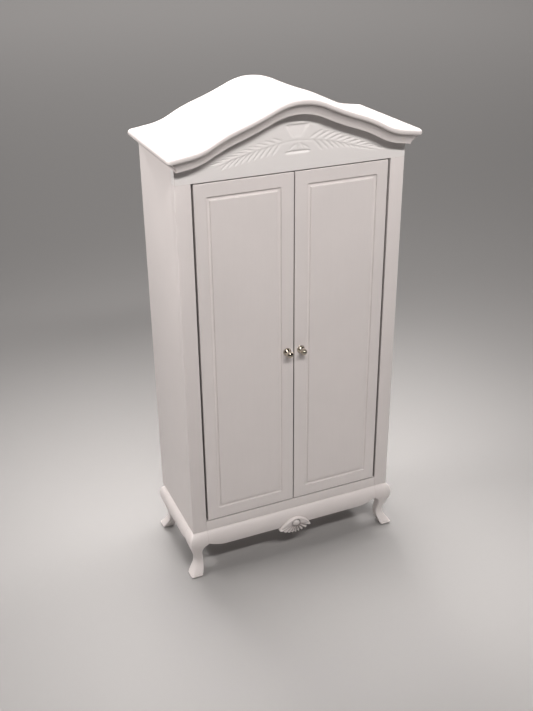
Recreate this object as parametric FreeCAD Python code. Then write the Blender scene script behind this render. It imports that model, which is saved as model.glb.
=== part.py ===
import FreeCAD, Part
import math
import os

# Twelfth-scale wardrobe with a serpentine cornice, two panelled doors on hidden
# pivot pins and a base on four cabriole legs. Millimetres, +Z up, front towards -Y,
# origin on the floor under the middle of the bounding box.

V = FreeCAD.Vector

# Case ---------------------------------------------------------------------------
body_width = 82.5
body_depth = 37.2
base_height = 19.2           # floor to the underside of the case
bottom_rail_height = 4.0
opening_height = 130.0
stile_width = 5.35
side_thickness = 3.0
back_thickness = 1.6
board_thickness = 2.4        # floor, ceiling and hat shelf
eave_above_opening = 10.4    # opening head to the cornice's top face at the case sides

# Cornice ------------------------------------------------------------------------
top_board_thickness = 2.2
top_overhang_front = 5.9
top_overhang_side = 3.5
top_corner_radius = 1.8
nose_share = 0.43            # nose radius as a share of the board's thickness
# Stations of the crown line: share of the case's half width, and slope in degrees.
crown_stations = [(0.218, 24.7), (0.497, 18.5), (0.727, 29.0), (0.909, 8.2)]
moulding_backing = 3.1       # wood between the frieze and the front moulding's profile
moulding_reach = 1.7         # fillet's stand-off from the backing, or from the case's side
moulding_toe = 0.2           # foot's stand-off
moulding_fillet_height = 0.3
moulding_cove_height = 2.7
moulding_foot_height = 0.2
moulding_hollow = 0.35       # stand-off half-way down the cove, as a share from toe to reach

# Doors --------------------------------------------------------------------------
door_thickness = 3.0
frame_behind_door = 0.2      # how much thicker the front frame is than the doors
door_side_gap = 0.4
door_end_gap = 0.45
door_meeting_gap = 0.4
panel_groove_margin = 5.2    # door edge to the middle of the routed groove
panel_groove_radius = 0.65
panel_groove_depth = 0.55
knob_height_share = 0.496    # up the door
knob_from_edge = 2.5
pin_radius = 0.5
pin_in_door = 4.0
pin_in_frame = 2.6
pin_running_clearance = 0.05
pin_end_clearance = 0.4
pin_from_edge = 2.3

# Knobs --------------------------------------------------------------------------
knob_ball_radius = 1.2
knob_ball_reach = 2.6        # door face to the middle of the ball
knob_neck_radius = 0.65
knob_collar_radius = 1.5
knob_collar_thickness = 0.9
knob_spigot_radius = 0.45
knob_spigot_length = 2.0

# Interior -----------------------------------------------------------------------
hat_shelf_drop = 24.0        # ceiling to the shelf's top
shelf_setback = 4.0          # door back to the shelf's front edge
cleat_height = 2.5
cleat_width = 2.0
rail_radius = 1.25
rail_drop = 5.5              # shelf underside to the rail's axis
rail_socket_depth = 1.2
stop_width = 14.0
stop_height = 2.2
stop_depth = 2.6
stop_clearance = 0.15

# Base ---------------------------------------------------------------------------
knee_block_width = 5.35
apron_thickness = 3.2
apron_drop = 7.6             # case underside to the apron's lower edge, mid span
apron_end_drop = 5.2         # the same at the leg
apron_end_rise_length = 7.0
rear_leg_inset = 2.2         # keeps the rear toes flush with the back
back_rail_height = 6.0
# Leg outline at full base height: stand-off from the case's face, share of the height.
leg_outer = [(0.0, 1.0), (1.0, 0.945), (1.74, 0.825), (1.19, 0.635),
             (-0.2, 0.41), (-0.33, 0.26), (0.73, 0.156), (2.2, 0.042)]
leg_toe = (2.05, 0.0)
leg_heel = (-2.15, 0.0)
leg_inner = [(-2.15, 0.0), (-2.7, 0.068), (-3.45, 0.19), (-3.6, 0.33),
             (-3.2, 0.56), (-3.7, 0.645)]
leg_inner_top = 0.73         # share of the height where it meets the knee block's inner face

# Shell --------------------------------------------------------------------------
shell_rays = 9
shell_reach_side = 7.2       # hinge point to a ray tip's middle, if a ray lay level
shell_reach_down = 3.7       # and for the ray pointing straight down
shell_spread = 136.0         # degrees between the outer rays
shell_hinge_drop = 5.5       # case underside to the hinge point
shell_ray_tip_radius = 0.95
shell_ray_root_radius = 0.4
shell_relief = 1.4           # over the apron's fullest line
shell_boss_radius = 1.9

# Worked out ---------------------------------------------------------------------
half_width = body_width / 2
frame_thickness = door_thickness + frame_behind_door
total_depth = body_depth + top_overhang_front
y_nose = -total_depth / 2
y_face = y_nose + top_overhang_front
y_back = y_face + body_depth
y_frame_back = y_face + frame_thickness
y_door_back = y_face + door_thickness
y_back_board = y_back - back_thickness
x_inside = half_width - side_thickness
x_opening = half_width - stile_width
z_sill = base_height + bottom_rail_height
z_head = z_sill + opening_height
z_eave = z_head + eave_above_opening
knee_bulge = max(standoff for standoff, share in leg_outer[:4])


def save(name, shape):
    """Write one sub-part as one STEP file."""
    if not shape.isValid():
        raise ValueError(name + " is not a valid solid")
    shape.exportStep(os.path.join("parts", name + ".step"))


def block(x0, x1, y0, y1, z0, z1):
    return Part.makeBox(x1 - x0, y1 - y0, z1 - z0, V(x0, y0, z0))


def mirrored(shape):
    """The other hand of a piece."""
    return shape.mirror(V(0, 0, 0), V(1, 0, 0))


def face_of(edges):
    return Part.Face(Part.Wire(edges))


def line(a, b):
    return Part.makeLine(a, b)


def polygon(points):
    return Part.Face(Part.makePolygon(points + [points[0]]))


def curve(points):
    """A smooth edge through a few points."""
    spline = Part.BSplineCurve()
    spline.interpolate(points)
    return spline.toShape()


# The crown line -----------------------------------------------------------------
def crown_segments():
    """Half the crown line as (x, drop) triples, one for each tangent arc."""
    segments = []
    x0, drop, a0 = 0.0, 0.0, 0.0
    for share, slope in crown_stations:
        x1 = share * half_width
        a1 = math.radians(slope)
        radius = (x1 - x0) / (math.sin(a1) - math.sin(a0))
        middle = (a0 + a1) / 2
        points = []
        for a in (a0, middle, a1):
            points.append((x0 + radius * (math.sin(a) - math.sin(a0)),
                           drop + radius * (math.cos(a0) - math.cos(a))))
        segments.append(points)
        x0, drop = points[2]
        a0 = a1
    return segments


def eave_drop(x):
    """Drop of the crown line below its apex on the straight run past the last arc."""
    x1, drop = crown_segments()[-1][2]
    return drop + (x - x1) * math.tan(math.radians(crown_stations[-1][1]))


z_apex = z_eave + eave_drop(half_width)


def z_crown(x, below):
    """Height, on the straight run, of the line lying below the cornice's top face."""
    return z_apex - below - eave_drop(x)


def crown_edges(below, x_end, y):
    """The crown line from -x_end to x_end, moved down, as edges in order."""
    right = []
    for points in crown_segments():
        a, b, c = [V(x, y, z_apex - below - drop) for x, drop in points]
        right.append(Part.Arc(a, b, c).toShape())
    x1, drop = crown_segments()[-1][2]
    right.append(line(V(x1, y, z_apex - below - drop), V(x_end, y, z_crown(x_end, below))))
    return [mirrored(edge) for edge in reversed(right)] + right


def under_crown(x_end, below, z_floor, y0, y1):
    """A board whose top follows the crown line."""
    edges = crown_edges(below, x_end, y0)
    z_end = z_crown(x_end, below)
    edges.append(line(V(x_end, y0, z_end), V(x_end, y0, z_floor)))
    edges.append(line(V(x_end, y0, z_floor), V(-x_end, y0, z_floor)))
    edges.append(line(V(-x_end, y0, z_floor), V(-x_end, y0, z_end)))
    return face_of(Part.sortEdges(edges)[0]).extrude(V(0, y1 - y0, 0))


# Cornice ------------------------------------------------------------------------
def cornice_top_board():
    """Arched board with its front and ends rounded over."""
    x_end = half_width + top_overhang_side
    upper = crown_edges(0, x_end, y_nose)
    lower = crown_edges(top_board_thickness, x_end, y_nose)
    ends = []
    for x in (-x_end, x_end):
        ends.append(line(V(x, y_nose, z_crown(x_end, 0)), V(x, y_nose, z_crown(x_end, top_board_thickness))))
    board = face_of(Part.sortEdges(upper + lower + ends)[0]).extrude(V(0, total_depth, 0))
    corners = [e for e in board.Edges if e.BoundBox.YMax < y_nose + 0.01 and e.BoundBox.XLength < 0.01]
    board = board.makeFillet(top_corner_radius, corners)
    rims = []
    for e in board.Edges:
        at_back = e.BoundBox.YMin > y_back - 0.01
        upright = e.BoundBox.XLength < 0.01 and e.BoundBox.YLength < 0.01
        across = e.BoundBox.YLength > body_depth - 1 and abs(e.CenterOfMass.x) < half_width
        if not (at_back or upright or across):
            rims.append(e)
    return board.makeFillet(nose_share * top_board_thickness, rims)


def moulding_profile(backing):
    """Fillet, cove and foot as (stand-off, drop below the cornice's top face) points."""
    reach = backing + moulding_reach
    toe = backing + moulding_toe
    top = top_board_thickness
    fillet = top + moulding_fillet_height
    cove = fillet + moulding_cove_height
    foot = cove + moulding_foot_height
    return (reach, top), (reach, fillet), (toe, cove), (toe, foot)


def cove_middle(start, end):
    """Middle point of the cove's arc between two profile points."""
    return end[0] + moulding_hollow * (start[0] - end[0]), (start[1] + end[1]) / 2


def mitre_cutter(outside):
    """Wedge on the left corner, on one side of the line where the mouldings meet."""
    far = 3 * moulding_reach
    y_front = y_face - moulding_backing
    corner = V(-half_width, y_front, 0)
    tip = V(-half_width - far, y_front - far, 0)
    if outside:
        points = [corner, tip, V(tip.x - far, tip.y, 0), V(tip.x - far, y_face + far, 0),
                  V(corner.x, y_face + far, 0)]
    else:
        points = [corner, tip, V(half_width, tip.y, 0), V(half_width, y_front, 0)]
    return polygon(points).extrude(V(0, 0, z_apex + far))


def cornice_front_moulding():
    """The profile carried along the crown line without turning, mitred at both ends."""
    x_end = half_width + moulding_reach + 1
    top, fillet, cove, foot = moulding_profile(moulding_backing)
    middle = cove_middle(fillet, cove)

    def point(offset, drop):
        return V(-x_end, y_face - offset, z_crown(x_end, drop))

    outline = Part.Wire([
        line(point(0, top[1]), point(*top)),
        line(point(*top), point(*fillet)),
        Part.Arc(point(*fillet), point(*middle), point(*cove)).toShape(),
        line(point(*cove), point(*foot)),
        line(point(*foot), point(0, foot[1])),
        line(point(0, foot[1]), point(0, top[1])),
    ])
    spine = Part.Wire(crown_edges(top[1], x_end, y_face))
    sweep = Part.BRepOffsetAPI.MakePipeShell(spine)
    sweep.setTrihedronMode(V(0, 0, 0), V(1, 0, 0))
    sweep.add(outline)
    sweep.build()
    sweep.makeSolid()
    moulding = sweep.shape()
    cutter = mitre_cutter(True)
    return moulding.cut(cutter).cut(mirrored(cutter))


def cornice_left_moulding():
    """Straight return along the side of the case."""
    top, fillet, cove, foot = moulding_profile(0)
    middle = cove_middle(fillet, cove)
    y0 = y_face - moulding_backing - moulding_reach

    def point(offset, drop):
        x = half_width + offset
        return V(-x, y0, z_crown(x, drop))

    outline = [
        line(point(0, top[1]), point(*top)),
        line(point(*top), point(*fillet)),
        Part.Arc(point(*fillet), point(*middle), point(*cove)).toShape(),
        line(point(*cove), point(*foot)),
        line(point(*foot), point(0, foot[1])),
        line(point(0, foot[1]), point(0, top[1])),
    ]
    return face_of(outline).extrude(V(0, y_back - y0, 0)).cut(mitre_cutter(False))


# Case ---------------------------------------------------------------------------
x_door_edge = x_opening - door_side_gap
x_pin = x_door_edge - pin_from_edge
y_pin = y_face + door_thickness / 2
z_door_bottom = z_sill + door_end_gap
z_door_top = z_head - door_end_gap


def pin_socket(z_mouth, direction):
    """Hole in the frame for a pivot pin, both hands."""
    depth = pin_in_frame + pin_end_clearance
    radius = pin_radius + pin_running_clearance
    hole = Part.makeCylinder(radius, depth, V(x_pin, y_pin, z_mouth), V(0, 0, direction))
    return hole.fuse(mirrored(hole))


def frieze_panel():
    """Head of the front frame, cut to the crown line, with the doors' upper sockets."""
    panel = under_crown(half_width, top_board_thickness, z_head, y_face, y_frame_back)
    return panel.cut(pin_socket(z_head, 1))


def bottom_rail():
    rail = block(-x_opening, x_opening, y_face, y_frame_back, base_height, z_sill)
    return rail.cut(pin_socket(z_sill, -1))


def left_stile():
    return block(-half_width, -x_opening, y_face, y_frame_back, base_height, z_head)


z_ceiling = z_head + board_thickness
z_shelf = z_head - hat_shelf_drop
z_rail = z_shelf - board_thickness - rail_drop
y_shelf_front = y_door_back + shelf_setback
y_rail = (y_shelf_front + y_back_board) / 2


def left_side_panel():
    """Side board, its top cut to the slope of the cornice, bored for the hanging rail."""
    corners = []
    for x, z in ((half_width, base_height), (x_inside, base_height),
                 (x_inside, z_crown(x_inside, top_board_thickness)),
                 (half_width, z_crown(half_width, top_board_thickness))):
        corners.append(V(-x, y_frame_back, z))
    panel = polygon(corners).extrude(V(0, y_back - y_frame_back, 0))
    socket = Part.makeCylinder(rail_radius, rail_socket_depth, V(-x_inside, y_rail, z_rail), V(-1, 0, 0))
    return panel.cut(socket)


def back_panel():
    return under_crown(x_inside, top_board_thickness, base_height, y_back_board, y_back)


def inner_board(z_top, y_front):
    """A board from side to side, up against the back panel."""
    return block(-x_inside, x_inside, y_front, y_back_board, z_top - board_thickness, z_top)


def left_shelf_cleat():
    z_top = z_shelf - board_thickness
    y1 = y_back_board
    return block(-x_inside, -x_inside + cleat_width, y_shelf_front, y1, z_top - cleat_height, z_top)


def hanging_rail():
    reach = x_inside + rail_socket_depth
    return Part.makeCylinder(rail_radius, 2 * reach, V(-reach, y_rail, z_rail), V(1, 0, 0))


def upper_door_stop():
    """Block under the ceiling that both doors close against."""
    y0 = y_door_back + stop_clearance
    return block(-stop_width / 2, stop_width / 2, y0, y0 + stop_depth, z_head - stop_height, z_head)


# Doors --------------------------------------------------------------------------
x_meeting = door_meeting_gap / 2
z_knob = z_door_bottom + knob_height_share * (z_door_top - z_door_bottom)
x_knob = x_meeting + knob_from_edge


def panel_groove():
    """Path of a round-nosed cutter round the door's raised field."""
    x0 = -x_door_edge + panel_groove_margin
    x1 = -x_meeting - panel_groove_margin
    z0 = z_door_bottom + panel_groove_margin
    z1 = z_door_top - panel_groove_margin
    y = y_face + panel_groove_depth - panel_groove_radius
    corners = [V(x0, y, z0), V(x1, y, z0), V(x1, y, z1), V(x0, y, z1)]
    groove = None
    for a, b in zip(corners, corners[1:] + corners[:1]):
        run = Part.makeCylinder(panel_groove_radius, a.distanceToPoint(b), a, b - a)
        turn = Part.makeSphere(panel_groove_radius, a)
        groove = run.fuse(turn) if groove is None else groove.fuse([run, turn])
    return groove


def left_door_leaf():
    """Slab with its hinge edge rounded about the pins, a routed field and bored for knob and pins."""
    half = door_thickness / 2
    run_back = math.sqrt(pin_from_edge ** 2 - half ** 2)
    front = V(-x_pin - run_back, y_face, z_door_bottom)
    edge = V(-x_door_edge, y_pin, z_door_bottom)
    back = V(-x_pin - run_back, y_door_back, z_door_bottom)
    free_front = V(-x_meeting, y_face, z_door_bottom)
    free_back = V(-x_meeting, y_door_back, z_door_bottom)
    outline = [line(free_front, front), Part.Arc(front, edge, back).toShape(),
               line(back, free_back), line(free_back, free_front)]
    leaf = face_of(outline).extrude(V(0, 0, z_door_top - z_door_bottom))
    for z, direction in ((z_door_bottom, 1), (z_door_top, -1)):
        leaf = leaf.cut(Part.makeCylinder(pin_radius, pin_in_door, V(-x_pin, y_pin, z), V(0, 0, direction)))
    spigot = Part.makeCylinder(knob_spigot_radius, knob_spigot_length, V(-x_knob, y_face, z_knob), V(0, 1, 0))
    return leaf.cut(spigot).cut(panel_groove())


def left_door_pin(z_edge, direction):
    """Pivot pin pressed into the door's end, standing out into the frame."""
    length = pin_in_door + door_end_gap + pin_in_frame
    start = V(-x_pin, y_pin, z_edge - direction * pin_in_door)
    return Part.makeCylinder(pin_radius, length, start, V(0, 0, direction))


def left_door_knob():
    """Turned knob: spigot, collar, neck and ball on one axis."""
    collar = knob_collar_thickness
    ball_start = knob_ball_reach - math.sqrt(knob_ball_radius ** 2 - knob_neck_radius ** 2)

    def point(radius, reach):
        return V(-x_knob + radius, y_face - reach, z_knob)

    outline = [
        line(point(0, -knob_spigot_length), point(knob_spigot_radius, -knob_spigot_length)),
        line(point(knob_spigot_radius, -knob_spigot_length), point(knob_spigot_radius, 0)),
        line(point(knob_spigot_radius, 0), point(knob_collar_radius, 0)),
        line(point(knob_collar_radius, 0), point(knob_collar_radius, collar / 2)),
        line(point(knob_collar_radius, collar / 2), point(knob_neck_radius, collar)),
        line(point(knob_neck_radius, collar), point(knob_neck_radius, ball_start)),
        Part.Arc(point(knob_neck_radius, ball_start), point(knob_ball_radius, knob_ball_reach),
                 point(0, knob_ball_reach + knob_ball_radius)).toShape(),
        line(point(0, knob_ball_reach + knob_ball_radius), point(0, -knob_spigot_length)),
    ]
    return face_of(outline).revolve(V(-x_knob, y_face, z_knob), V(0, 1, 0), 360)


# Base ---------------------------------------------------------------------------
def leg_points(stations, place):
    return [place(standoff, share * base_height) for standoff, share in stations]


def leg_outline(place):
    """Closed side view of a cabriole leg; place puts a (stand-off, height) in space."""
    outer = leg_points(leg_outer, place)
    inner = leg_points(leg_inner + [(-knee_block_width, leg_inner_top)], place)
    toe = place(leg_toe[0], 0)
    top_inner = place(-knee_block_width, base_height)
    return face_of([curve(outer), line(outer[-1], toe), line(toe, inner[0]), curve(inner),
                    line(inner[-1], top_inner), line(top_inner, outer[0])])


def left_leg(y_corner, side):
    """Square leg sawn to the same outline on two faces; side is -1 in front, 1 at the back."""
    reach = 20.0

    def seen_from_front(standoff, z):
        return V(-half_width - standoff, y_corner - reach, z)

    def seen_from_side(standoff, z):
        return V(-half_width - reach, y_corner + side * standoff, z)

    across = leg_outline(seen_from_front).extrude(V(0, 2 * reach, 0))
    along = leg_outline(seen_from_side).extrude(V(2 * reach, 0, 0))
    return across.common(along)


def apron_section(place):
    """Section of an apron: the legs' outline outside, flat inside."""
    outer = leg_points(leg_outer, place)
    low = place(-apron_thickness, leg_outer[-1][1] * base_height)
    top = place(-apron_thickness, base_height)
    return face_of([curve(outer), line(outer[-1], low), line(low, top), line(top, outer[0])])


def apron_elevation(s0, s1, place):
    """Elevation of an apron from s0 to s1: level in the middle, swept up to each leg."""
    z_low = base_height - apron_drop
    z_end = base_height - apron_end_drop
    bend = apron_end_rise_length
    middle = 0.35 * (z_end - z_low)

    def sweep_up(s_leg, s_level):
        half_way = (s_leg + s_level) / 2
        return Part.Arc(place(s_leg, z_end), place(half_way, z_low + middle), place(s_level, z_low)).toShape()

    edges = [sweep_up(s0, s0 + bend), line(place(s0 + bend, z_low), place(s1 - bend, z_low)),
             sweep_up(s1, s1 - bend), line(place(s1, z_end), place(s1, base_height)),
             line(place(s1, base_height), place(s0, base_height)),
             line(place(s0, base_height), place(s0, z_end))]
    return face_of(Part.sortEdges(edges)[0])


def front_apron():
    x = half_width - knee_block_width
    section = apron_section(lambda standoff, z: V(-x, y_face - standoff, z)).extrude(V(2 * x, 0, 0))
    elevation = apron_elevation(-x, x, lambda s, z: V(s, y_face - 20, z)).extrude(V(0, 40, 0))
    return section.common(elevation)


def left_apron():
    y0 = y_face + knee_block_width
    y1 = y_back - rear_leg_inset - knee_block_width
    section = apron_section(lambda standoff, z: V(-half_width - standoff, y0, z)).extrude(V(0, y1 - y0, 0))
    elevation = apron_elevation(y0, y1, lambda s, z: V(-half_width - 20, s, z)).extrude(V(40, 0, 0))
    return section.common(elevation)


def back_rail():
    x = half_width - knee_block_width
    y1 = y_back - rear_leg_inset
    return block(-x, x, y1 - apron_thickness, y1, base_height - back_rail_height, base_height)


def shell_carving(apron):
    """Fan of tapered rays under a half-round boss, cut to sit on the apron."""
    z_hinge = base_height - shell_hinge_drop
    y_ray = y_face - knee_bulge - shell_relief + shell_ray_tip_radius
    hinge = V(0, y_ray, z_hinge)
    shell = Part.makeSphere(shell_boss_radius, hinge)
    for i in range(shell_rays):
        angle = math.radians((i / (shell_rays - 1) - 0.5) * shell_spread)
        aim = V(math.sin(angle), 0, -math.cos(angle))
        reach = 1 / math.hypot(aim.x / shell_reach_side, aim.z / shell_reach_down)
        ray = Part.makeCone(shell_ray_root_radius, shell_ray_tip_radius, reach, hinge, aim)
        tip = Part.makeSphere(shell_ray_tip_radius, hinge + aim * reach)
        shell = shell.fuse([ray, tip])
    return shell.cut(apron)


# Build --------------------------------------------------------------------------
os.makedirs("parts", exist_ok=True)

save("cornice_top_board", cornice_top_board())
save("cornice_front_moulding", cornice_front_moulding())
side_moulding = cornice_left_moulding()
save("cornice_left_moulding", side_moulding)
save("cornice_right_moulding", mirrored(side_moulding))

save("frieze_panel", frieze_panel())
save("bottom_rail", bottom_rail())
save("back_panel", back_panel())
save("floor_board", inner_board(z_sill, y_frame_back))
save("ceiling_board", inner_board(z_ceiling, y_frame_back))
save("hat_shelf", inner_board(z_shelf, y_shelf_front))
save("hanging_rail", hanging_rail())
save("upper_door_stop", upper_door_stop())

apron = front_apron()
save("front_apron", apron)
save("back_rail", back_rail())
save("shell_carving", shell_carving(apron))

left_pieces = {
    "stile": left_stile(),
    "side_panel": left_side_panel(),
    "shelf_cleat": left_shelf_cleat(),
    "door_leaf": left_door_leaf(),
    "door_knob": left_door_knob(),
    "door_top_pin": left_door_pin(z_door_top, 1),
    "door_bottom_pin": left_door_pin(z_door_bottom, -1),
    "apron": left_apron(),
    "front_leg": left_leg(y_face, -1),
    "rear_leg": left_leg(y_back - rear_leg_inset, 1),
}
for piece, shape in left_pieces.items():
    save("left_" + piece, shape)
    save("right_" + piece, mirrored(shape))
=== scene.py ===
import math

import bmesh
import bpy
import numpy as np
from mathutils import Matrix, Vector


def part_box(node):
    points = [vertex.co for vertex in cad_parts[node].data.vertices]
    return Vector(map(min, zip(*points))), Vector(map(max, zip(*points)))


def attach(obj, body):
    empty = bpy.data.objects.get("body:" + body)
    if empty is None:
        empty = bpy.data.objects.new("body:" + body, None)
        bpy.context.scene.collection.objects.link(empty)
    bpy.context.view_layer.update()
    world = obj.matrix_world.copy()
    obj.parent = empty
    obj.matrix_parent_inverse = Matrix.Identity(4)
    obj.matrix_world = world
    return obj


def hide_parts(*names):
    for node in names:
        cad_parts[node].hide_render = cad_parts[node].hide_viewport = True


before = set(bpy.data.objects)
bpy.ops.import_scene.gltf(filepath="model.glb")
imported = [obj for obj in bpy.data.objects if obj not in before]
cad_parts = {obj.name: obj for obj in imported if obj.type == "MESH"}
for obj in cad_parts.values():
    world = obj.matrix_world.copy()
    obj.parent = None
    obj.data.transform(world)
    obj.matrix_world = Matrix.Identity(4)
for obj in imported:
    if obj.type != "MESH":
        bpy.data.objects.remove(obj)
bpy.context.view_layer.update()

# A twelfth-scale wardrobe in satin off-white paint. Its pieces follow in the order they are
# put together: base, case, inside, doors, frieze, cornice. All sizes here are millimetres.

# Legs ---------------------------------------------------------------------------
# Four cabriole legs sawn from square stock on two faces, knee and foot softened with
# sandpaper and a line cut round the toe pad. Fine-grained wood, primed and sprayed
# with the rest of the case, glued under the case's corners.


def add(tree, kind, inputs=None, **settings):
    """A shader node with its settings, and with values or links on its inputs."""
    node = tree.nodes.new("ShaderNode" + kind)
    for key, value in settings.items():
        setattr(node, key, value)
    for key, value in (inputs or {}).items():
        if isinstance(value, bpy.types.NodeSocket):
            tree.links.new(value, node.inputs[key])
        else:
            node.inputs[key].default_value = value
    return node


def make_group(name, inputs, outputs):
    """An empty shader node group with its sockets, and its input and output nodes."""
    tree = bpy.data.node_groups.new(name, "ShaderNodeTree")
    for label, kind, value in inputs:
        socket = tree.interface.new_socket(label, in_out="INPUT", socket_type="NodeSocket" + kind)
        socket.default_value = value
    for label, kind in outputs:
        tree.interface.new_socket(label, in_out="OUTPUT", socket_type="NodeSocket" + kind)
    return tree, tree.nodes.new("NodeGroupInput"), tree.nodes.new("NodeGroupOutput")


def sprayed_paint_group():
    """Colour, roughness and height of a sprayed paint film over fine-grained wood, with painted shade in its
    crevices and a painted highlight on its arrises.
    """
    tree, given, result = make_group(
        "sprayed_paint",
        [("Place", "Vector", (0, 0, 0)), ("Paint", "Color", (0.8, 0.78, 0.76, 1)),
         ("Dust And Shade", "Color", (0.5, 0.45, 0.42, 1)), ("Grain", "Vector", (2.4, 2.4, 0.09)),
         ("Grain Depth", "Float", 0.3), ("Blemishes", "Float", 0.5), ("Edge Highlight", "Float", 0.4)],
        [("Color", "Color"), ("Roughness", "Float"), ("Height", "Float")])
    put = given.outputs
    mm = add(tree, "VectorMath", {0: put["Place"], 1: (1000, 1000, 1000)}, operation="MULTIPLY").outputs[0]
    along = add(tree, "VectorMath", {0: mm, 1: put["Grain"]}, operation="MULTIPLY").outputs[0]
    grain = add(tree, "TexNoise", {"Vector": along, "Scale": 1.0, "Detail": 4.0, "Roughness": 0.6}).outputs[0]
    peel = add(tree, "TexNoise", {"Vector": mm, "Scale": 1.5, "Detail": 2.0, "Roughness": 0.5}).outputs[0]
    cloud = add(tree, "TexNoise", {"Vector": mm, "Scale": 0.045, "Detail": 3.0, "Roughness": 0.55}).outputs[0]
    nibs = add(tree, "TexVoronoi", {"Vector": mm, "Scale": 0.42, "Randomness": 1.0}).outputs["Distance"]
    nib = add(tree, "MapRange", {0: nibs, 1: 0.03, 2: 0.11, 3: 1.0, 4: 0.0},
              interpolation_type="SMOOTHSTEP").outputs[0]
    patch = add(tree, "TexNoise", {"Vector": mm, "Scale": 0.11, "Detail": 1.0}).outputs[0]
    some = add(tree, "MapRange", {0: patch, 1: 0.5, 2: 0.62, 3: 0.0, 4: 1.0}).outputs[0]
    nib = add(tree, "Math", {0: nib, 1: some}, operation="MULTIPLY").outputs[0]
    nib = add(tree, "Math", {0: nib, 1: put["Blemishes"]}, operation="MULTIPLY").outputs[0]

    # Painted shade: near facing surfaces (gaps, corners, recesses) the colour is mixed towards a near-black
    # colour, a little dirt but mostly painted shade, and the roughness rises there.
    corner = add(tree, "AmbientOcclusion", {"Distance": 0.0022}, samples=6).outputs["AO"]
    shut_in = add(tree, "MapRange", {0: corner, 1: 0.15, 2: 0.85, 3: 1.0, 4: 0.0}).outputs[0]
    dust_and_shade = add(tree, "Math", {0: shut_in, 1: 2.0}, operation="POWER").outputs[0]
    # Painted highlight: convex arrises are lifted towards a brighter white, standing in for light caught on
    # the edges.
    arris = add(tree, "AmbientOcclusion", {"Distance": 0.0004}, samples=8, inside=True).outputs["AO"]
    edge = add(tree, "MapRange", {0: arris, 1: 0.35, 2: 0.75, 3: 0.0, 4: 1.0}).outputs[0]
    edge = add(tree, "Math", {0: edge, 1: put["Edge Highlight"]}, operation="MULTIPLY").outputs[0]

    tone = add(tree, "MapRange", {0: cloud, 1: 0.3, 2: 0.7, 3: 0.965, 4: 1.03}).outputs[0]
    streak = add(tree, "MapRange", {0: grain, 1: 0.3, 2: 0.7, 3: 0.985, 4: 1.012}).outputs[0]
    tone = add(tree, "Math", {0: tone, 1: streak}, operation="MULTIPLY").outputs[0]
    nib_tone = add(tree, "MapRange", {0: nib, 1: 0.0, 2: 1.0, 3: 1.0, 4: 0.9}).outputs[0]
    tone = add(tree, "Math", {0: tone, 1: nib_tone}, operation="MULTIPLY").outputs[0]
    paint = add(tree, "VectorMath", {0: put["Paint"]}, operation="SCALE")
    tree.links.new(tone, paint.inputs["Scale"])
    mix = add(tree, "MixRGB", {"Fac": dust_and_shade, "Color1": paint.outputs[0], "Color2": put["Dust And Shade"]})
    lift = add(tree, "MixRGB", {"Fac": edge, "Color1": mix.outputs[0], "Color2": (0.93, 0.915, 0.9, 1)})
    tree.links.new(lift.outputs[0], result.inputs["Color"])

    rough = add(tree, "MapRange", {0: peel, 1: 0.3, 2: 0.7, 3: 0.36, 4: 0.47}).outputs[0]
    rough = add(tree, "Math", {0: rough, 1: dust_and_shade}, operation="ADD").outputs[0]
    tree.links.new(rough, result.inputs["Roughness"])

    ridge = add(tree, "Math", {0: grain, 1: put["Grain Depth"]}, operation="MULTIPLY").outputs[0]
    skin_height = add(tree, "Math", {0: peel, 1: 0.35, 2: ridge}, operation="MULTIPLY_ADD").outputs[0]
    slow = add(tree, "Math", {0: cloud, 1: 2.5, 2: skin_height}, operation="MULTIPLY_ADD").outputs[0]
    height = add(tree, "Math", {0: nib, 1: 0.9, 2: slow}, operation="MULTIPLY_ADD").outputs[0]
    tree.links.new(height, result.inputs["Height"])
    return tree


sprayed_paint = sprayed_paint_group()
paint_colour = (0.80, 0.728, 0.708, 1)
# Near-black colour for crevices: a little dirt, mostly painted shade in gaps and corners.
dust_and_shade_colour = (0.13, 0.10, 0.095, 1)


def painted(name, grain, grain_depth=0.3, blemishes=0.5, edge_highlight=0.4):
    """Satin off-white paint over wood whose grain runs along one axis, with painted shade in crevices and a
    painted highlight on arrises.
    """
    material = bpy.data.materials.new(name)
    material.use_nodes = True
    tree = material.node_tree
    shader = tree.nodes["Principled BSDF"]
    place = add(tree, "TexCoord").outputs["Object"]
    film = add(tree, "Group", node_tree=sprayed_paint)
    tree.links.new(place, film.inputs["Place"])
    film.inputs["Paint"].default_value = paint_colour
    film.inputs["Dust And Shade"].default_value = dust_and_shade_colour
    film.inputs["Grain"].default_value = grain
    film.inputs["Grain Depth"].default_value = grain_depth
    film.inputs["Blemishes"].default_value = blemishes
    film.inputs["Edge Highlight"].default_value = edge_highlight
    bump = add(tree, "Bump", {"Height": film.outputs["Height"], "Strength": 0.35, "Distance": 0.00006})
    tree.links.new(film.outputs["Color"], shader.inputs["Base Color"])
    tree.links.new(film.outputs["Roughness"], shader.inputs["Roughness"])
    tree.links.new(bump.outputs["Normal"], shader.inputs["Normal"])
    shader.inputs["IOR"].default_value = 1.46
    shader.inputs["Coat Weight"].default_value = 0.12
    shader.inputs["Coat Roughness"].default_value = 0.22
    return material


paint_upright = painted("paint_upright_grain", (2.4, 2.4, 0.09))
paint_across = painted("paint_level_grain", (0.09, 2.4, 2.4))
paint_deep = painted("paint_side_grain", (2.4, 0.09, 2.4))


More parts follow.
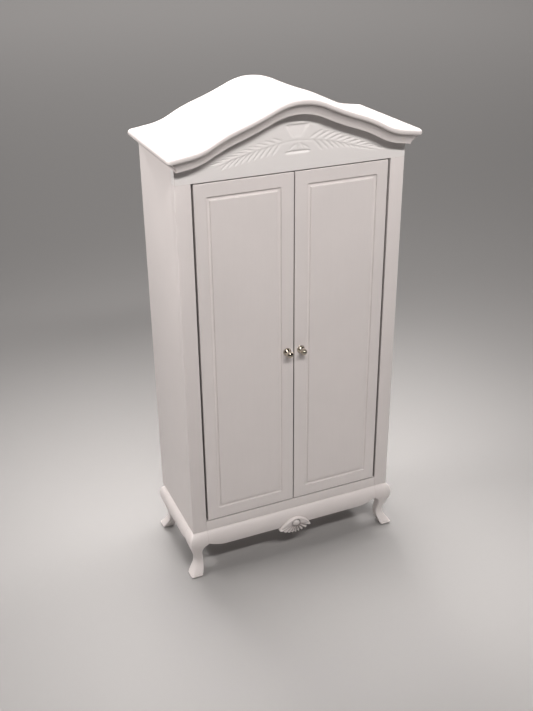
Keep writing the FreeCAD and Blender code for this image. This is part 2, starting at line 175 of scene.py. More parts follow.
def piece(name, points, faces, material, body, stands_for, slot="white_paint", crease=38):
    """A shown piece from points in millimetres, riding on its body in place of a CAD node."""
    mesh = bpy.data.meshes.new(name)
    mesh.from_pydata([Vector(p) * 0.001 for p in points], [], faces)
    clean = bmesh.new()
    clean.from_mesh(mesh)
    bmesh.ops.remove_doubles(clean, verts=clean.verts, dist=2e-6)
    bmesh.ops.recalc_face_normals(clean, faces=clean.faces)
    clean.to_mesh(mesh)
    clean.free()
    mesh.shade_smooth()
    mesh.set_sharp_from_angle(angle=math.radians(crease))
    mesh.materials.append(material)
    obj = bpy.data.objects.new(name, mesh)
    bpy.context.scene.collection.objects.link(obj)
    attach(obj, body)
    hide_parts(stands_for)
    return obj


def skin(rings, caps=True):
    """Points and faces of a closed tube drawn over rings of equal length."""
    n = len(rings[0])
    points = [p for ring in rings for p in ring]
    faces = []
    for i in range(len(rings) - 1):
        for j in range(n):
            k = (j + 1) % n
            faces.append((i * n + j, i * n + k, (i + 1) * n + k, (i + 1) * n + j))
    if caps:
        last = (len(rings) - 1) * n
        faces.append(tuple(range(n - 1, -1, -1)))
        faces.append(tuple(range(last, last + n)))
    return points, faces


def rounded_rect(x0, x1, y0, y1, radii, steps=5):
    """Corner-rounded rectangle as points, radii for (x0 y0), (x1 y0), (x1 y1), (x0 y1)."""
    ring = []
    corners = ((x0, y0, 1, 1, 180), (x1, y0, -1, 1, 270), (x1, y1, -1, -1, 0), (x0, y1, 1, -1, 90))
    for (x, y, sx, sy, start), r in zip(corners, radii):
        for k in range(steps + 1):
            a = math.radians(start + 90 * k / steps)
            ring.append((x + sx * r + r * math.cos(a), y + sy * r + r * math.sin(a)))
    return ring


def smooth_line(stations, count=160):
    """Natural cubic spline through a few points, as many points."""
    p = np.array(stations, float)
    t = np.r_[0, np.cumsum(np.linalg.norm(np.diff(p, axis=0), axis=1))]
    h = np.diff(t)
    a = np.eye(len(t))
    b = np.zeros_like(p)
    for i in range(1, len(t) - 1):
        a[i, i - 1:i + 2] = h[i - 1], 2 * (h[i - 1] + h[i]), h[i]
        b[i] = 6 * ((p[i + 1] - p[i]) / h[i] - (p[i] - p[i - 1]) / h[i - 1])
    m = np.linalg.solve(a, b)
    u = np.linspace(0, t[-1], count)
    i = np.clip(np.searchsorted(t, u, side="right") - 1, 0, len(h) - 1)
    lo, hi, w = (u - t[i])[:, None], (t[i + 1] - u)[:, None], h[i][:, None]
    return (m[i] * hi ** 3 + m[i + 1] * lo ** 3) / (6 * w) + (p[i] / w - m[i] * w / 6) * hi \
        + (p[i + 1] / w - m[i + 1] * w / 6) * lo


def mm_box(node):
    """Lowest and highest corner of a CAD node, in millimetres."""
    return [v * 1000 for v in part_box(node)]


case_low, case_high = mm_box("left_side_panel")[0], mm_box("right_side_panel")[1]
half_width = case_high.x
base_height = case_low.z
y_face = mm_box("left_stile")[0].y
y_back = case_high.y
rear_inset = y_back - mm_box("back_rail")[1].y
knee_block = half_width + mm_box("front_apron")[0].x
leg_outer = [(0.0, 1.0), (1.0, 0.945), (1.74, 0.825), (1.19, 0.635),
             (-0.2, 0.41), (-0.33, 0.26), (0.73, 0.156), (2.2, 0.042)]
leg_inner = [(-2.15, 0.0), (-2.7, 0.068), (-3.45, 0.19), (-3.6, 0.33),
             (-3.2, 0.56), (-3.7, 0.645), (-knee_block, 0.73)]
toe_line_height, toe_line_width, toe_line_depth = 1.0, 0.16, 0.2
toe_stand_off = 2.05
sole_ease, sole_slope = 0.25, 0.6
knee_start = 13                 # height where the leg's soft corners give way to the knee block's
outer_line = smooth_line([(s, share * base_height) for s, share in leg_outer])[::-1]
inner_line = smooth_line([(s, share * base_height) for s, share in leg_inner])


def outer_at(z):
    """Stand-off of the base's outline from the case's face."""
    toe = -toe_line_depth * math.exp(-((z - toe_line_height) / toe_line_width) ** 2)
    if z < outer_line[0][1]:
        return toe_stand_off + 0.15 * z / outer_line[0][1]
    return float(np.interp(z, outer_line[:, 1], outer_line[:, 0])) + toe


def inner_at(z):
    if z > inner_line[-1][1]:
        return -knee_block
    return float(np.interp(z, inner_line[:, 1], inner_line[:, 0]))


leg_heights = sorted(set(
    [0.0, 0.06, 0.2, 0.45, 0.7, 0.8, 0.86, 0.92, 0.97, 1.02, 1.08, 1.15, 1.25, 1.4]
    + [1.6 + 0.3 * k for k in range(40)] + [13.5, 13.7, 13.9, 14.0, 14.016, 14.05, 14.2]
    + [14.5 + 0.3 * k for k in range(15)] + [base_height]))
for side, sx in (("left", -1), ("right", 1)):
    for end, y_corner, sy in (("front", y_face, -1), ("rear", y_back - rear_inset, 1)):
        rings = []
        for z in leg_heights:
            out, inn = outer_at(z), inner_at(z)
            sole = max(0.0, sole_ease - z) * sole_slope
            out, inn = out - sole, inn + sole
            above_knee = min(1, max(0, z - knee_start))
            soft = 0.75 - 0.1 * above_knee
            small = 0.45 - 0.37 * above_knee
            ring = rounded_rect(inn, out, inn, out, (small, small, soft, small))
            rings.append([(sx * (half_width + a), y_corner + sy * b, z) for a, b in ring])
        name = f"{side}_{end}_leg"
        piece("cabriole_" + name, *skin(rings), paint_upright, "carcass", name, crease=50)

# Aprons -------------------------------------------------------------------------
# Bulged rails between the legs, run to the same knee line, the lower edge swept up to
# each leg and rounded over. Painted wood, butted and glued between the knee blocks.
apron_back = 3.2
apron_low = base_height - 7.6
apron_end = base_height - 5.2
apron_rise = 7.0
edge_round = 0.8


def apron_ring(z_low):
    """Section of an apron as (stand-off, height), outside first."""
    ring = []
    for z in np.linspace(base_height, z_low + edge_round, 16):
        ring.append((outer_at(z), z))
    s = outer_at(z_low + edge_round)
    for k in range(1, 7):
        a = math.radians(90 * k / 6)
        ring.append((s - edge_round * (1 - math.cos(a)), z_low + edge_round * (1 - math.sin(a))))
    ring.append((-apron_back + 0.3, z_low))
    ring.append((-apron_back, z_low + 0.3))
    ring.append((-apron_back, base_height))
    return ring


def apron_rings(s0, s1):
    rings = []
    steps = np.r_[np.linspace(0, apron_rise, 15), np.linspace(apron_rise, s1 - s0 - apron_rise, 12)[1:-1],
                  np.linspace(s1 - s0 - apron_rise, s1 - s0, 15)]
    for d in steps:
        short = max(0.0, 1 - min(d, s1 - s0 - d) / apron_rise)
        rings.append((s0 + d, apron_ring(apron_low + (apron_end - apron_low) * short ** 1.5)))
    return rings


x_leg = half_width - knee_block
rings = [[(s, y_face - a, z) for a, z in ring] for s, ring in apron_rings(-x_leg, x_leg)]
piece("bulged_front_apron", *skin(rings), paint_across, "carcass", "front_apron", crease=50)
y_first = y_face + knee_block
y_last = y_back - rear_inset - knee_block
for side, sx in (("left", -1), ("right", 1)):
    rings = [[(sx * (half_width + a), s, z) for a, z in ring] for s, ring in apron_rings(y_first, y_last)]
    piece(f"bulged_{side}_apron", *skin(rings), paint_deep, "carcass", side + "_apron", crease=50)

# Shell --------------------------------------------------------------------------
# A fan-shaped carving at the middle of the front apron, hanging below its edge: nine round
# rays with deep grooves, under an arched rim round a half-round boss. Carved, then painted.
shell_z = base_height - 5.5
shell_half_width = 6.6
tip_drop = 2.7                  # hub down to the level of the pointed ends
rise_over_tips, fall_under_tips = 5.1, 2.0
shell_rays = 9
ray_limit = 76                  # degrees each side of straight down that hold rays
boss_radius = 1.4
ridge_lift, groove_cut = 1.4, 1.3
groove_start, groove_run = 1.6, 0.7
ring_radius, ring_width, ring_depth = 1.65, 0.22, 0.8
boss_lift = 0.45
rim_start, rim_share = 0.9, 0.35   # where the rim turns down, and what stays of its height


def in_shell(x, drop):
    """Whether a point, by its x and its drop below the hub, is within the outline."""
    open_here = 1 - (x / shell_half_width) ** 2
    up = tip_drop - drop
    return open_here > 0 and -fall_under_tips * open_here < up < rise_over_tips * open_here ** 0.8


def shell_reach(turn):
    """Distance from the hub to the shell's outline, at an angle from straight down."""
    low, high = 0.0, 12.0
    for _ in range(30):
        middle = (low + high) / 2
        if in_shell(middle * math.sin(turn), middle * math.cos(turn)):
            low = middle
        else:
            high = middle
    return low


turns = np.r_[np.linspace(-180, -ray_limit, 26)[:-1], np.linspace(-ray_limit, ray_limit, shell_rays * 14 + 1),
              np.linspace(ray_limit, 180, 26)[1:-1]]
reaches = [shell_reach(math.radians(degrees)) for degrees in turns]
shares = np.r_[np.linspace(0, 0.9, 46), 0.92, 0.94, 0.955, 0.97, 0.982, 0.991, 0.997, 1.0]
shell_rings = []
for share in shares:
    ring = []
    for degrees, full_reach in zip(turns, reaches):
        turn = math.radians(degrees)
        ridge = 1.0
        if abs(degrees) < ray_limit:
            across = (degrees + ray_limit) / (2 * ray_limit) * shell_rays % 1.0
            ridge = math.sqrt(max(0.0, 1 - (2 * across - 1) ** 2))
        r = share * full_reach * (0.92 + 0.08 * ridge)
        x, z = r * math.sin(turn), shell_z - r * math.cos(turn)
        groove = min(1.0, max(0.0, (r - groove_start) / groove_run)) * (1 - ridge ** 2.5)
        ring_cut = ring_depth * math.exp(-((r - ring_radius) / ring_width) ** 2)
        lift = ridge_lift - groove_cut * groove - ring_cut
        if r < boss_radius:
            lift += boss_lift * math.sqrt(1 - (r / boss_radius) ** 2)
        turned_down = max(0.0, (share - rim_start) / (1 - rim_start))
        lift *= rim_share + (1 - rim_share) * math.sqrt(max(0.0, 1 - turned_down ** 2))
        ring.append((x, y_face - outer_at(max(z, apron_low + edge_round)) - lift, z))
    shell_rings.append(ring)
shell_rings.append([(x, y_face - 0.5, z) for x, y, z in shell_rings[-1]])
piece("carved_shell", *skin(shell_rings), paint_across, "carcass", "shell_carving", crease=60)

# Case ---------------------------------------------------------------------------
# Side panels, stiles, bottom rail and boards, sawn from thin sheet and glued square.
# Arrises are lightly sanded, and the paint fills the joints.


def board(name, corners, depth, axis, material, node, soft=0.08):
    """A flat board from its outline's corners, made thick along an axis, arrises eased."""
    mesh = bmesh.new()
    shift = Vector([depth if k == axis else 0 for k in range(3)])
    near = [mesh.verts.new(c) for c in corners]
    face = mesh.faces.new(near)
    swept = bmesh.ops.extrude_face_region(mesh, geom=[face])
    moved = [v for v in swept["geom"] if isinstance(v, bmesh.types.BMVert)]
    bmesh.ops.translate(mesh, verts=moved, vec=shift)
    bmesh.ops.recalc_face_normals(mesh, faces=mesh.faces)
    bmesh.ops.bevel(mesh, geom=list(mesh.edges), offset=soft, segments=3, profile=0.5, affect="EDGES",
                    clamp_overlap=True)
    mesh.verts.index_update()
    points = [v.co.copy() for v in mesh.verts]
    faces = [[v.index for v in f.verts] for f in mesh.faces]
    mesh.free()
    return piece(name, points, faces, material, "carcass", node, crease=60)


def box_board(name, node, material, soft=0.08):
    """A rectangular board filling its CAD box."""
    lo, hi = mm_box(node)
    corners = [(lo.x, lo.y, lo.z), (hi.x, lo.y, lo.z), (hi.x, lo.y, hi.z), (lo.x, lo.y, hi.z)]
    return board(name, corners, hi.y - lo.y, 1, material, node, soft)


for side in ("left", "right"):
    box_board(side + "_frame_stile", side + "_stile", paint_upright)
box_board("frame_bottom_rail", "bottom_rail", paint_across)

# The crown line: tangent arcs from the middle, then a straight run over the case's corner.
crown_stations = [(0.218, 24.7), (0.497, 18.5), (0.727, 29.0), (0.909, 8.2)]


def crown_drop(x):
    """Drop of the crown line below its apex."""
    x = abs(x)
    x0, drop, a0 = 0.0, 0.0, 0.0
    for share, slope in crown_stations:
        x1 = share * half_width
        a1 = math.radians(slope)
        radius = (x1 - x0) / (math.sin(a1) - math.sin(a0))
        a = math.asin(math.sin(a0) + (min(x, x1) - x0) / radius)
        drop += radius * (math.cos(a0) - math.cos(a))
        if x <= x1:
            return drop
        x0, a0 = x1, a1
    return drop + (x - x0) * math.tan(a0)


z_apex = mm_box("cornice_top_board")[1].z
board_thickness = 2.2
side_thickness = 3.0
for side, sx in (("left", -1), ("right", 1)):
    lo, hi = mm_box(side + "_side_panel")
    outline = []
    x_inner = half_width - side_thickness
    for x, z in ((half_width, base_height), (x_inner, base_height),
                 (x_inner, z_apex - board_thickness - crown_drop(x_inner)),
                 (half_width, z_apex - board_thickness - crown_drop(half_width))):
        outline.append((sx * x, lo.y, z))
    board(side + "_case_side", outline, hi.y - lo.y, 1, paint_upright, side + "_side_panel")

# Inside -------------------------------------------------------------------------
# Back, floor, ceiling and hat shelf on cleats, a steel-wire hanging rail and the block
# the doors close against. The boards are painted as the case is, from one sprayed coat.
for node, material in (("back_panel", paint_upright), ("back_rail", paint_across),
                       ("ceiling_board", paint_across),
                       ("left_shelf_cleat", paint_deep), ("right_shelf_cleat", paint_deep),
                       ("upper_door_stop", paint_across)):
    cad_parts[node].material_slots[0].material = material
box_board("inside_floor", "floor_board", paint_across)
box_board("inside_hat_shelf", "hat_shelf", paint_across)
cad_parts["hanging_rail"].material_slots[0].material = paint_across


def metal(name, colour, roughness, lines):
    """Bare metal with fine turning or drawing lines and a breath of tarnish."""
    material = bpy.data.materials.new(name)
    material.use_nodes = True
    tree = material.node_tree
    shader = tree.nodes["Principled BSDF"]
    shader.inputs["Metallic"].default_value = 1.0
    place = add(tree, "TexCoord").outputs["Object"]
    streak = add(tree, "VectorMath", {0: place, 1: lines}, operation="MULTIPLY").outputs[0]
    fine = add(tree, "TexNoise", {"Vector": streak, "Scale": 1.0, "Detail": 3.0}).outputs[0]
    patches = add(tree, "TexNoise", {"Vector": place, "Scale": 1400.0, "Detail": 3.0}).outputs[0]
    tint = add(tree, "MapRange", {0: patches, 1: 0.35, 2: 0.7, 3: 0.0, 4: 0.35}).outputs[0]
    dull = tuple(c * 0.55 for c in colour[:3]) + (1,)
    mix = add(tree, "MixRGB", {"Fac": tint, "Color1": colour, "Color2": dull})
    tree.links.new(mix.outputs[0], shader.inputs["Base Color"])
    rough = add(tree, "MapRange", {0: fine, 1: 0.3, 2: 0.7,
                                   3: roughness * 0.7, 4: roughness * 1.5}).outputs[0]
    tree.links.new(rough, shader.inputs["Roughness"])
    bump = add(tree, "Bump", {"Height": fine, "Strength": 0.15, "Distance": 0.00002})
    tree.links.new(bump.outputs["Normal"], shader.inputs["Normal"])
    return material


drawn_steel = metal("drawn_steel", (0.56, 0.56, 0.57, 1), 0.3, (9000, 9000, 300))
for side in ("left", "right"):
    for end in ("top", "bottom"):
        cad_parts[f"{side}_door_{end}_pin"].material_slots[0].material = drawn_steel

# Doors --------------------------------------------------------------------------
# Two flush slabs, each with a groove routed round a flat field by a round-nosed cutter,
# the hinge edge rounded about its pivot pins. Painted wood; they hang on the pins.
groove_margin = 5.2
groove_radius = 0.65
groove_depth = 0.55
door_soft = 0.2
pin_from_edge = 2.3


def door_rect(x0, x1, z0, z1, inset, radius, steps=4):
    return rounded_rect(x0 + inset, x1 - inset, z0 + inset, z1 - inset, (radius,) * 4, steps)


for side, sx in (("left", -1), ("right", 1)):
    lo, hi = mm_box(side + "_door_leaf")
    y_front, y_rear = lo.y, hi.y
    rings = []
    corner = 0.05
    profile = [(0.0, y_front + door_soft, corner)]
    for k in range(1, 5):
        a = math.radians(90 * k / 4)
        profile.append((door_soft * (1 - math.cos(a)), y_front + door_soft * (1 - math.sin(a)), corner))
    profile.append((door_soft + 0.15, y_front, corner))
    outer_edge = groove_margin - groove_radius
    profile.append((outer_edge - 0.35, y_front, 0.6))
    profile.append((outer_edge - 0.12, y_front, 0.6))
    profile.append((outer_edge - 0.04, y_front + 0.02, 0.62))
    for k in range(1, 10):
        a = math.radians(180 * k / 10)
        depth = groove_depth * math.sin(a) ** 0.6
        inset = groove_margin - groove_radius * math.cos(a)
        profile.append((inset, y_front + depth, 0.6 * (1 - k / 10) + 0.06))
    inner_edge = groove_margin + groove_radius
    profile.append((inner_edge + 0.04, y_front + 0.02, 0.05))
    profile.append((inner_edge + 0.14, y_front, 0.05))
    profile.append((inner_edge + 0.45, y_front, 0.05))
    for inset, y, radius in profile:
        ring = door_rect(lo.x, hi.x, lo.z, hi.z, inset, radius)
        rings.append([(x, y, z) for x, z in ring])
    rings = rings[::-1]
    for inset, y in ((0.0, y_rear - door_soft), (door_soft * 0.3, y_rear - door_soft * 0.3),
                     (door_soft, y_rear)):
        rings.append([(x, y, z) for x, z in door_rect(lo.x, hi.x, lo.z, hi.z, inset, corner)])
    points, faces = skin(rings)
    x_hinge = lo.x if sx < 0 else hi.x
    half = (y_rear - y_front) / 2
    shaped = []
    for x, y, z in points:
        near = abs(x - x_hinge)
        across = abs(y - (y_front + half))
        edge = pin_from_edge - math.sqrt(max(0.0, pin_from_edge ** 2 - across ** 2))
        if near < pin_from_edge:
            x += -sx * edge * (1 - near / pin_from_edge)
        shaped.append((x, y, z))
    piece(side + "_panelled_door", shaped, faces, paint_upright, side + "_door", side + "_door_leaf",
          crease=40)

# Knobs --------------------------------------------------------------------------
# Small turned knobs of pale brass, polished: a collar with a bead, a waisted neck and a
# ball. Pressed by a spigot into the meeting edge of each door.
brass = metal("polished_pale_brass", (0.62, 0.56, 0.47, 1), 0.06, (400, 9000, 400))
knob_profile = [(0.0, -1.9), (0.43, -1.9), (0.43, -0.02), (1.42, -0.02), (1.49, 0.05), (1.5, 0.15),
                (1.47, 0.25),
                (1.4, 0.31), (1.39, 0.38), (1.38, 0.46), (1.3, 0.62), (1.14, 0.8), (0.96, 0.96), (0.8, 1.12),
                (0.7, 1.28), (0.66, 1.4), (0.68, 1.5), (0.76, 1.56), (0.79, 1.63), (0.77, 1.69)]
ball, reach = 1.2, 2.6
first_turn = math.radians(-50)
for k in range(1, 17):
    a = first_turn + (math.pi / 2 - first_turn) * k / 16
    knob_profile.append((ball * math.cos(a), reach + ball * math.sin(a)))
for side in ("left", "right"):
    lo, hi = mm_box(side + "_door_knob")
    x, z = (lo.x + hi.x) / 2, (lo.z + hi.z) / 2
    rings = []
    for radius, out in knob_profile:
        radius = max(radius, 0.004)
        rings.append([(x + radius * math.cos(2 * math.pi * j / 40), y_face - out,
                       z + radius * math.sin(2 * math.pi * j / 40)) for j in range(40)])
    piece("turned_" + side + "_knob", *skin(rings), brass, side + "_door", side + "_door_knob", "brass",
          crease=40)

# Frieze -------------------------------------------------------------------------
# The head of the front frame, its top cut to the crown line. Two feathered leaf sprays
# meet at a tied bow; all of it is sunk carving, cut no higher than the board's face.
# The carving's edges get a strong painted highlight (the last argument).
paint_carved = painted("paint_carved", (0.09, 2.4, 2.4), 0.15, 0.2, 0.8)
bow_x = 0.95
stem = np.array([(-28.5, 157.3), (-24.0, 158.75), (-20.9, 159.65), (-17.3, 160.5), (-13.3, 161.45),
                 (-9.65, 162.15),
                 (-6.4, 162.75), (-2.8, 163.25), (0.9, 163.4), (4.2, 163.2), (8.9, 162.6), (13.6, 161.65),
                 (18.5, 160.4), (23.4, 158.85), (27.4, 157.8), (31.0, 156.95)])
stem_line = smooth_line(stem, 300)
# Leaves: first and last root, slopes there in degrees, lengths, half width, how many.
sprays = [
    ((5.2, 29.0), (27, -4), (5.4, 4.4), 0.5, 11),
    ((6.2, 25.5), (-47, -26), (5.6, 2.6), 0.48, 10),
    ((-4.0, -23.5), (162, 186), (4.6, 6.2), 0.34, 9),
    ((-4.6, -21.0), (231, 216), (5.2, 5.6), 0.48, 9),
]
frieze_low, frieze_high = mm_box("frieze_panel")
step = 0.16
xs = np.arange(-34.0, 34.0 + step / 2, step)
xs = np.r_[np.linspace(-half_width, -34.5, 6), xs, np.linspace(34.5, half_width, 6)]
z_rows = np.linspace(0, 1, 130)
top_line = np.array([z_apex - board_thickness - crown_drop(x) for x in xs])
z_face_low = frieze_low.z
X = np.repeat(xs[None, :], len(z_rows), axis=0)
Z = z_face_low + z_rows[:, None] * (top_line - z_face_low)[None, :]
H = np.zeros_like(X)


def ease(t):
    t = np.clip(t, 0, 1)
    return t * t * (3 - 2 * t)


def cut(depth):
    """Takes the carving down to a depth where it isn't deeper already."""
    np.minimum(H, -depth, out=H)


def stroke(start, slope, length, half_wide, depth):
    """A gouge cut running from a point at a slope, its upper wall steep, its lower one gentle."""
    c, s = math.cos(slope), math.sin(slope)
    upward = 1 if c > 0 else -1
    along = ((X - start[0]) * c + (Z - start[1]) * s) / length
    across = (-(X - start[0]) * s + (Z - start[1]) * c) * upward
    wide = half_wide * np.sqrt(np.clip(1 - (2 * along - 1) ** 2, 0, 1)) + 1e-6
    steep = np.clip((1 - across / wide) / 0.65, 0, 1)
    gentle = np.clip((1 + across / wide) / 1.35, 0, 1)
    cut(depth * np.minimum(steep, gentle) * ease(wide / 0.4) * ((along > 0) & (along < 1)))


for (x_a, x_b), (slope_a, slope_b), (long_a, long_b), half_wide, number in sprays:
    for i in range(number):
        t = i / (number - 1)
        x_root = x_a + (x_b - x_a) * t
        z_root = float(np.interp(x_root, stem_line[:, 0], stem_line[:, 1]))
        slope = math.radians(slope_a + (slope_b - slope_a) * t)
        stroke((x_root, z_root), slope, long_a + (long_b - long_a) * t, half_wide, 0.27)

# The stem stays up as a soft ridge, with a shallow line along its lower side.
gap = np.interp(X, stem_line[:, 0], stem_line[:, 1]) - Z
on_stem = (X > stem_line[0, 0]) & (X < stem_line[-1, 0])
H = np.where(on_stem, H * (1 - 0.9 * np.exp(-(gap / 0.34) ** 2)), H)
fade = ease((X - stem_line[0, 0]) / 3) * ease((stem_line[-1, 0] - X) / 3)
cut(np.exp(-((gap - 0.5) / 0.2) ** 2) * 0.12 * fade)

# Bow: the upper wing is deepest at its top edge and rises towards the tie.
up = np.clip((Z - 163.8) / (168.3 - 163.8), 0, 1)
half = 1.9 + 2.8 * up
side_wall = ease((half - np.abs(X - bow_x)) / 1.1)
top_wall = ease((168.3 - Z) / 0.45)
cut(0.5 * (0.15 + 0.85 * up) * side_wall * top_wall * ease((Z - 163.8) / 0.8))
stroke((-2.6, 167.0), math.radians(-53), 3.9, 0.45, 0.25)
stroke((5.1, 167.2), math.radians(-122), 4.0, 0.3, 0.12)

# Its lower wing is a level cut under a small wedge with a line down each side.
stroke((-3.6, 159.25), 0.0, 9.3, 0.62, 0.5)
for x_foot, slope in ((-2.5, 29), (5.3, 151)):
    stroke((x_foot, 160.0), math.radians(slope), 4.3, 0.34, 0.28)
for x_foot, slope in ((0.2, 50), (3.2, 130)):
    stroke((x_foot, 160.2), math.radians(slope), 1.9, 0.28, 0.3)
H = np.minimum(H, 0)


def filled(height, passes=2):
    """Paint filling the cuts: each point takes on its neighbours' height."""
    for _ in range(passes):
        for axis in (0, 1):
            height = (np.roll(height, 1, axis) + 2 * height + np.roll(height, -1, axis)) / 4
    return height


H = filled(H)
H[0], H[-1], H[:, 0], H[:, -1] = 0, 0, 0, 0

Y = y_face - H
n_col, n_row = len(xs), len(z_rows)
points = [(X[i, j], Y[i, j], Z[i, j]) for i in range(n_row) for j in range(n_col)]
faces = []
for i in range(n_row - 1):
    for j in range(n_col - 1):
        k = i * n_col + j
        faces.append((k, k + 1, k + n_col + 1, k + n_col))
front_count = len(points)
edge_loop = list(range(n_col)) + [i * n_col + n_col - 1 for i in range(1, n_row)] \
    + [(n_row - 1) * n_col + j for j in range(n_col - 2, -1, -1)] \
    + [i * n_col for i in range(n_row - 2, 0, -1)]
y_rear = frieze_high.y
for k in edge_loop:
    points.append((points[k][0], y_rear, points[k][2]))
for n, k in enumerate(edge_loop):
    m = (n + 1) % len(edge_loop)
    faces.append((k, front_count + n, front_count + m, edge_loop[m]))
faces.append(tuple(front_count + n for n in range(len(edge_loop))))
piece("carved_frieze", points, faces, paint_carved, "carcass", "frieze_panel", crease=65)

# Cornice ------------------------------------------------------------------------
# An arched top board with its front and ends rounded over, over a cove moulding that
# follows the arch and returns, mitred, along both sides. Shaped wood, glued and painted.
nose = 0.946
corner_radius = 1.8
top_low, top_high = mm_box("cornice_top_board")
x_tip = top_high.x
y_nose = top_low.y
steps = [nose * (1 - math.cos(math.radians(a))) for a in (0, 15, 30, 45, 58, 70, 80, 90)]
near_edge = np.array(steps + [1.2, 1.5, corner_radius])
x_line = np.r_[-x_tip + near_edge, np.linspace(-x_tip + corner_radius, x_tip - corner_radius, 150)[1:-1],
               (x_tip - near_edge)[::-1]]
y_line = np.r_[y_nose + near_edge, np.linspace(y_nose + corner_radius, y_back, 26)[1:]]
points = []
for sheet in (1, -1):
    for x in x_line:
        for y in y_line:
            a = abs(x) - (x_tip - corner_radius)
            b = (y_nose + corner_radius) - y
            px, py = x, y
            inward = min(x_tip - abs(x), y - y_nose)
            if a > 0 and b > 0:
                most = max(a, b)
                scale = most / math.hypot(a, b)
                px = math.copysign(x_tip - corner_radius + a * scale, x)
                py = y_nose + corner_radius - b * scale
                inward = corner_radius - most
            drop = 0.0
            if inward < nose:
                drop = nose - math.sqrt(max(0.0, nose ** 2 - (nose - inward) ** 2))
            z = z_apex - crown_drop(px)
            z = z - drop if sheet > 0 else z - board_thickness + drop
            points.append((px, py, z))
n_x, n_y = len(x_line), len(y_line)
faces = []
for sheet in (0, 1):
    start = sheet * n_x * n_y
    for i in range(n_x - 1):
        for j in range(n_y - 1):
            k = start + i * n_y + j
            faces.append((k, k + 1, k + n_y + 1, k + n_y))
loop = [i * n_y for i in range(n_x)] + [(n_x - 1) * n_y + j for j in range(1, n_y)] \
    + [i * n_y + n_y - 1 for i in range(n_x - 2, -1, -1)] + list(range(n_y - 2, 0, -1))
for n, k in enumerate(loop):
    m = loop[(n + 1) % len(loop)]
    faces.append((k, m, m + n_x * n_y, k + n_x * n_y))
piece("arched_top_board", points, faces, paint_across, "carcass", "cornice_top_board", crease=50)

backing = 3.1                   # wood behind the front moulding's profile
fillet_reach = 1.7
toe_reach = 0.2
fillet_end = board_thickness + 0.3
cove_end = fillet_end + 2.7
foot_end = cove_end + 0.2
cove_hollow = 0.225             # how deep the cove is under a straight bevel


def cove_profile():
    """The moulding's section as (stand-off, drop below the crown line), from the top down."""
    profile = [(fillet_reach - 0.05, board_thickness), (fillet_reach, board_thickness + 0.05),
               (fillet_reach, fillet_end - 0.06), (fillet_reach - 0.05, fillet_end)]
    for k in range(1, 13):
        t = k / 13
        straight = fillet_reach + (toe_reach - fillet_reach) * t
        profile.append((straight - 4 * cove_hollow * t * (1 - t), fillet_end + (cove_end - fillet_end) * t))
    profile += [(toe_reach, cove_end), (toe_reach, foot_end - 0.08), (toe_reach - 0.08, foot_end)]
    return profile


rings = []
for u in np.linspace(-1, 1, 181):
    ring = []
    for out, drop in [(-backing, board_thickness)] + cove_profile() + [(-backing, foot_end)]:
        x = u * (half_width + max(out, 0))
        ring.append((x, y_face - backing - out, z_apex - crown_drop(x) - drop))
    rings.append(ring)
piece("cove_front_moulding", *skin(rings), paint_across, "carcass", "cornice_front_moulding", crease=40)
for side, sx in (("left", -1), ("right", 1)):
    rings = []
    for t in np.linspace(0, 1, 14):
        ring = []
        for out, drop in [(0, board_thickness)] + cove_profile() + [(0, foot_end)]:
            y_start = y_face - backing - out
            x = half_width + out
            ring.append((sx * x, y_start + (y_back - y_start) * t, z_apex - crown_drop(x) - drop))
        rings.append(ring)
    piece(f"cove_{side}_moulding", *skin(rings), paint_deep, "carcass", f"cornice_{side}_moulding", crease=40)

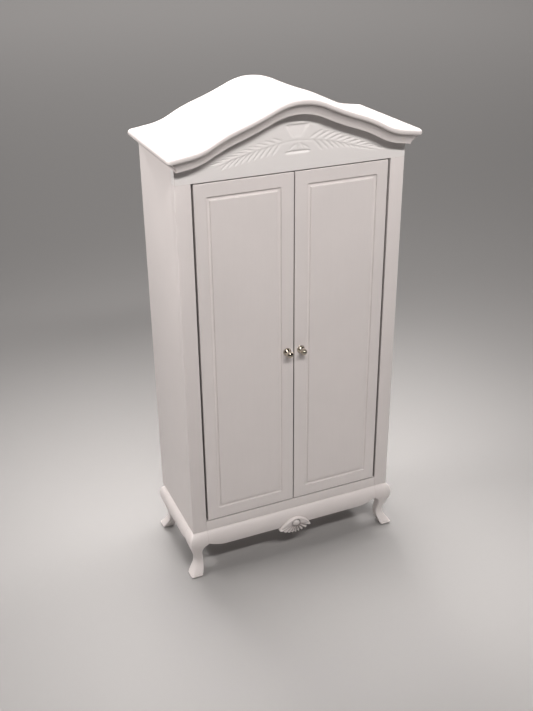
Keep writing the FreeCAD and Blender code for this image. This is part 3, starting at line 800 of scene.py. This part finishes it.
# Studio -------------------------------------------------------------------------
# A plain pale floor; narrow strip lamps high in front, behind and on both sides, one
# square lamp overhead and a wash over the floor behind; and the camera.
floor_material = bpy.data.materials.new("studio_floor")
floor_material.use_nodes = True
floor_material.node_tree.nodes["Principled BSDF"].inputs["Base Color"].default_value = (0.36, 0.356, 0.352, 1)
floor_material.node_tree.nodes["Principled BSDF"].inputs["Roughness"].default_value = 0.6
floor_mesh = bpy.data.meshes.new("studio_floor")
far = 6.0
floor_mesh.from_pydata([(-far, -far, 0), (far, -far, 0), (far, far, 0), (-far, far, 0)], [], [(0, 1, 2, 3)])
floor_mesh.materials.append(floor_material)
studio_floor = bpy.data.objects.new("studio_floor", floor_mesh)
bpy.context.scene.collection.objects.link(studio_floor)


def lamp(name, place, aim, width, height, power, spread=180, colour=(1, 0.955, 0.935)):
    """A soft panel lamp, with a grid before it that narrows its beam to a spread."""
    data = bpy.data.lights.new(name, "AREA")
    data.shape = "RECTANGLE"
    data.size = width
    data.size_y = height
    data.energy = power
    data.spread = math.radians(spread)
    data.color = colour
    obj = bpy.data.objects.new(name, data)
    obj.location = place
    obj.rotation_euler = (Vector(aim) - Vector(place)).to_track_quat("-Z", "Y").to_euler()
    bpy.context.scene.collection.objects.link(obj)


head = (0, 0, 0.15)
lamp("key_strip", (-0.03, -0.34, 0.46), (0, 0, 0.165), 0.4, 0.03, 0.41, 75)
lamp("left_strip", (-0.40, 0.09, 0.43), head, 0.3, 0.035, 0.24, 60)
lamp("right_strip", (0.40, 0.11, 0.43), head, 0.3, 0.035, 0.2, 60)
lamp("back_strip", (0.0, 0.42, 0.45), head, 0.3, 0.05, 0.25, 60)
lamp("overhead", (0.0, 0.06, 0.62), head, 0.2, 0.2, 0.1, 34)
lamp("back_wash", (0.6, 1.9, 1.3), (0.3, 1.5, 0), 2.4, 1.6, 26.0)
world = bpy.data.worlds.new("studio_air")
world.use_nodes = True
world.node_tree.nodes["Background"].inputs["Color"].default_value = (0.80, 0.80, 0.82, 1)
world.node_tree.nodes["Background"].inputs["Strength"].default_value = 0.02
bpy.context.scene.world = world
bpy.context.scene.view_settings.view_transform = "Standard"

camera_data = bpy.data.cameras.new("camera")
camera_data.lens = 47.69
camera_data.sensor_width = 36
camera_data.sensor_fit = "AUTO"
camera_data.clip_start = 0.01
camera = bpy.data.objects.new("camera", camera_data)
turn = Matrix.Rotation(-0.4056, 4, "Z") @ Matrix.Rotation(math.pi / 2 - 0.47, 4, "X") \
    @ Matrix.Rotation(-0.0105, 4, "Z")
camera.matrix_world = Matrix.Translation((-0.12766, -0.28804, 0.23848)) @ turn
bpy.context.scene.collection.objects.link(camera)
bpy.context.scene.camera = camera
